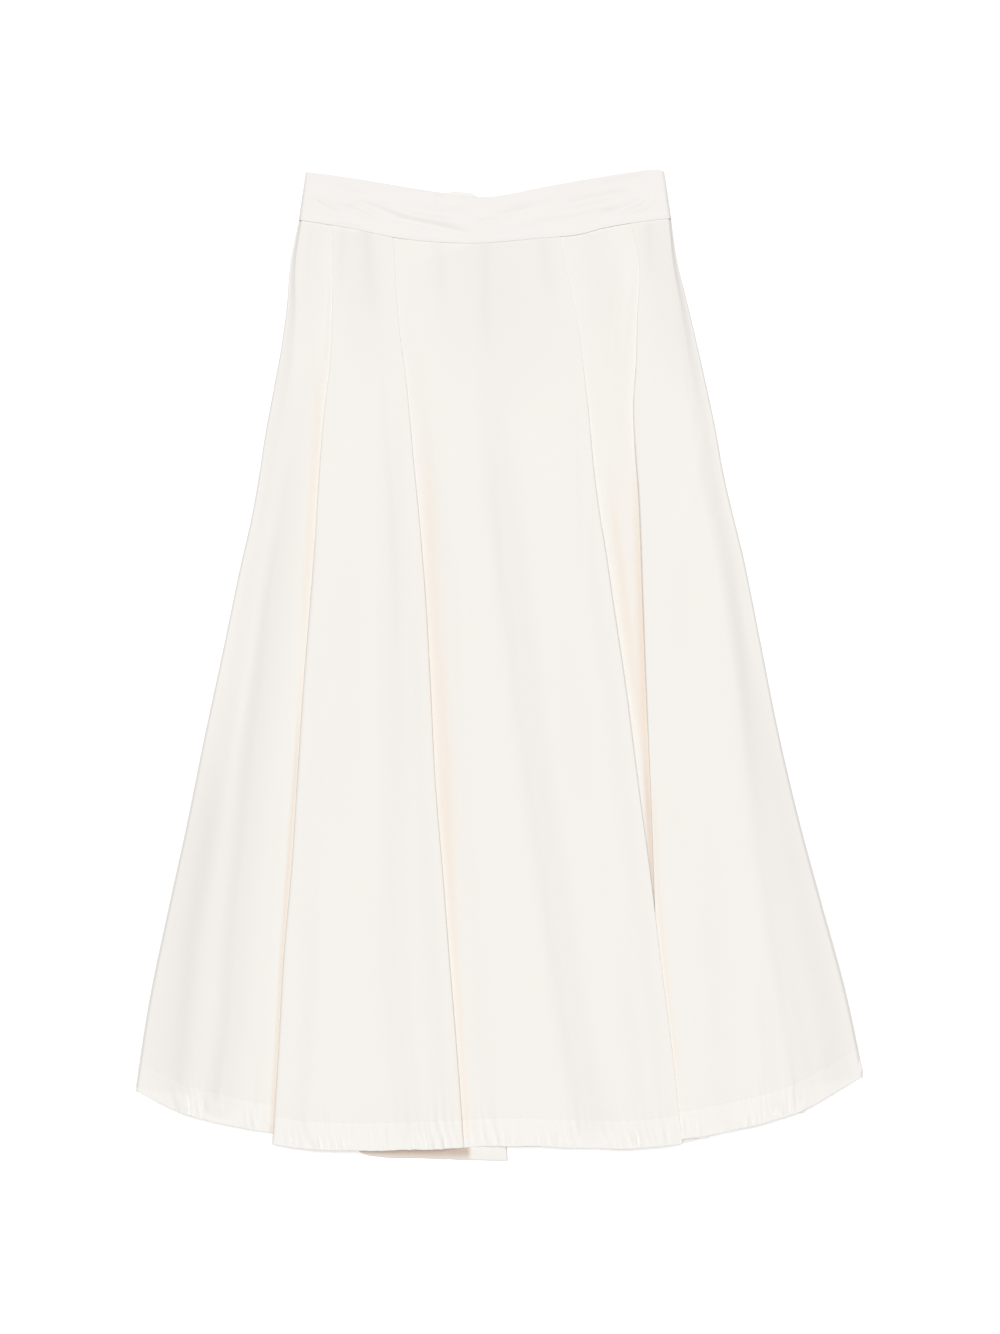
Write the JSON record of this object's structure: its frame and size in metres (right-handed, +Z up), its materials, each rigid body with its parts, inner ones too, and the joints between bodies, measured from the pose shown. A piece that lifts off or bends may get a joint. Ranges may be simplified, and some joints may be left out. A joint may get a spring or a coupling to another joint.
{
  "type": "maxi skirt",
  "caption": "Long flared cotton skirt laid flat face up, with a shaped waistband, a box pleat and an inverted pleat opening into folds, and a turned-up hem.",
  "frame": {"origin": "middle of the skirt's outline, on the surface that it lies on", "axes": "+X to the right and +Y towards the waist as the picture shows it, +Z up out of the surface, towards the skirt's front"},
  "size_m": [0.727, 0.9895, 0.0191],
  "materials": {
    "ivory_cotton": "matte, fine plain weave",
    "band_cotton": "matte, fine plain weave, doubled",
    "zip_tape": "matte woven tape"
  },
  "bodies": {
    "root": {"front_panel": "ivory_cotton", "back_panel_left": "ivory_cotton", "back_panel_right": "ivory_cotton", "waistband_front": "band_cotton", "waistband_back_left": "band_cotton", "waistband_back_right": "band_cotton", "pocket_bag_left": "ivory_cotton", "pocket_bag_right": "ivory_cotton", "back_zip": "zip_tape"}
  },
  "joints": []
}
